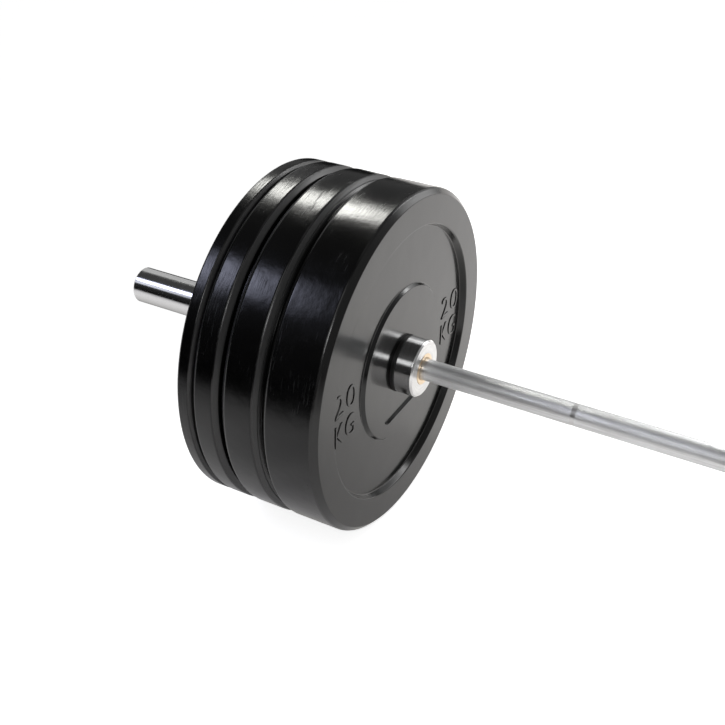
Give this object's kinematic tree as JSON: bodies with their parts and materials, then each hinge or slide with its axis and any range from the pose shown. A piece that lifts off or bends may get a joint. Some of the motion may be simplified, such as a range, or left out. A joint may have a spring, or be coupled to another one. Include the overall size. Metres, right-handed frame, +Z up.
{
  "type": "olympic barbell",
  "caption": "Long knurled steel bar with rotating chrome sleeves, each loaded with a row of black rubber bumper plates against a collar.",
  "frame": {"origin": "on the bar's axis, at the middle of the shaft", "axes": "+X along the bar towards the right end, +Z up; the picture shows the left end, at -X"},
  "size_m": [2.2, 0.45, 0.45],
  "materials": {
    "shaft_steel": "satin hard chrome over knurling",
    "sleeve_chrome": "polished chrome",
    "collar_chrome": "polished chrome with a fine-turned face",
    "bushing_bronze": "turned bearing bronze",
    "cap_steel": "turned steel",
    "spring_steel": "phosphated spring steel",
    "washer_steel": "ground steel",
    "plate_rubber": "glossy moulded rubber",
    "hub_black": "gloss black coated steel"
  },
  "bodies": {
    "shaft_assembly": {"shaft": "shaft_steel", "left_thrust_washers": "washer_steel", "left_shaft_circlips": "spring_steel", "right_thrust_washers": "washer_steel", "right_shaft_circlips": "spring_steel"},
    "left_sleeve_assembly": {"left_sleeve": "sleeve_chrome", "left_collar": "collar_chrome", "left_inner_bushing": "bushing_bronze", "left_outer_bushing": "bushing_bronze", "left_end_cap": "cap_steel", "left_end_cap_circlip": "spring_steel"},
    "left_plate_20": {"left_plate_20_rubber": "plate_rubber", "left_plate_20_hub": "hub_black"},
    "left_plate_15": {"left_plate_15_rubber": "plate_rubber", "left_plate_15_hub": "hub_black"},
    "left_plate_10": {"left_plate_10_rubber": "plate_rubber", "left_plate_10_hub": "hub_black"},
    "left_plate_5": {"left_plate_5_rubber": "plate_rubber", "left_plate_5_hub": "hub_black"},
    "right_sleeve_assembly": {"right_sleeve": "sleeve_chrome", "right_collar": "collar_chrome", "right_inner_bushing": "bushing_bronze", "right_outer_bushing": "bushing_bronze", "right_end_cap": "cap_steel", "right_end_cap_circlip": "spring_steel"},
    "right_plate_20": {"right_plate_20_rubber": "plate_rubber", "right_plate_20_hub": "hub_black"},
    "right_plate_15": {"right_plate_15_rubber": "plate_rubber", "right_plate_15_hub": "hub_black"},
    "right_plate_10": {"right_plate_10_rubber": "plate_rubber", "right_plate_10_hub": "hub_black"},
    "right_plate_5": {"right_plate_5_rubber": "plate_rubber", "right_plate_5_hub": "hub_black"}
  },
  "joints": [
    {"name": "left_sleeve_spin", "type": "hinge", "parent": "shaft_assembly", "child": "left_sleeve_assembly", "pos_m": [-0.89, 0, 0], "axis": [1, 0, 0], "continuous": true},
    {"name": "left_plate_20_slide", "type": "slide", "parent": "left_sleeve_assembly", "child": "left_plate_20", "axis": [-1, 0, 0], "range_m": [0, 0.421]},
    {"name": "left_plate_15_slide", "type": "slide", "parent": "left_plate_20", "child": "left_plate_15", "axis": [-1, 0, 0], "range_m": [0, 0.346]},
    {"name": "left_plate_10_slide", "type": "slide", "parent": "left_plate_15", "child": "left_plate_10", "axis": [-1, 0, 0], "range_m": [0, 0.286]},
    {"name": "left_plate_5_slide", "type": "slide", "parent": "left_plate_10", "child": "left_plate_5", "axis": [-1, 0, 0], "range_m": [0, 0.249]},
    {"name": "right_sleeve_spin", "type": "hinge", "parent": "shaft_assembly", "child": "right_sleeve_assembly", "pos_m": [0.89, 0, 0], "axis": [1, 0, 0], "continuous": true},
    {"name": "right_plate_20_slide", "type": "slide", "parent": "right_sleeve_assembly", "child": "right_plate_20", "axis": [1, 0, 0], "range_m": [0, 0.421]},
    {"name": "right_plate_15_slide", "type": "slide", "parent": "right_plate_20", "child": "right_plate_15", "axis": [1, 0, 0], "range_m": [0, 0.346]},
    {"name": "right_plate_10_slide", "type": "slide", "parent": "right_plate_15", "child": "right_plate_10", "axis": [1, 0, 0], "range_m": [0, 0.286]},
    {"name": "right_plate_5_slide", "type": "slide", "parent": "right_plate_10", "child": "right_plate_5", "axis": [1, 0, 0], "range_m": [0, 0.249]}
  ]
}
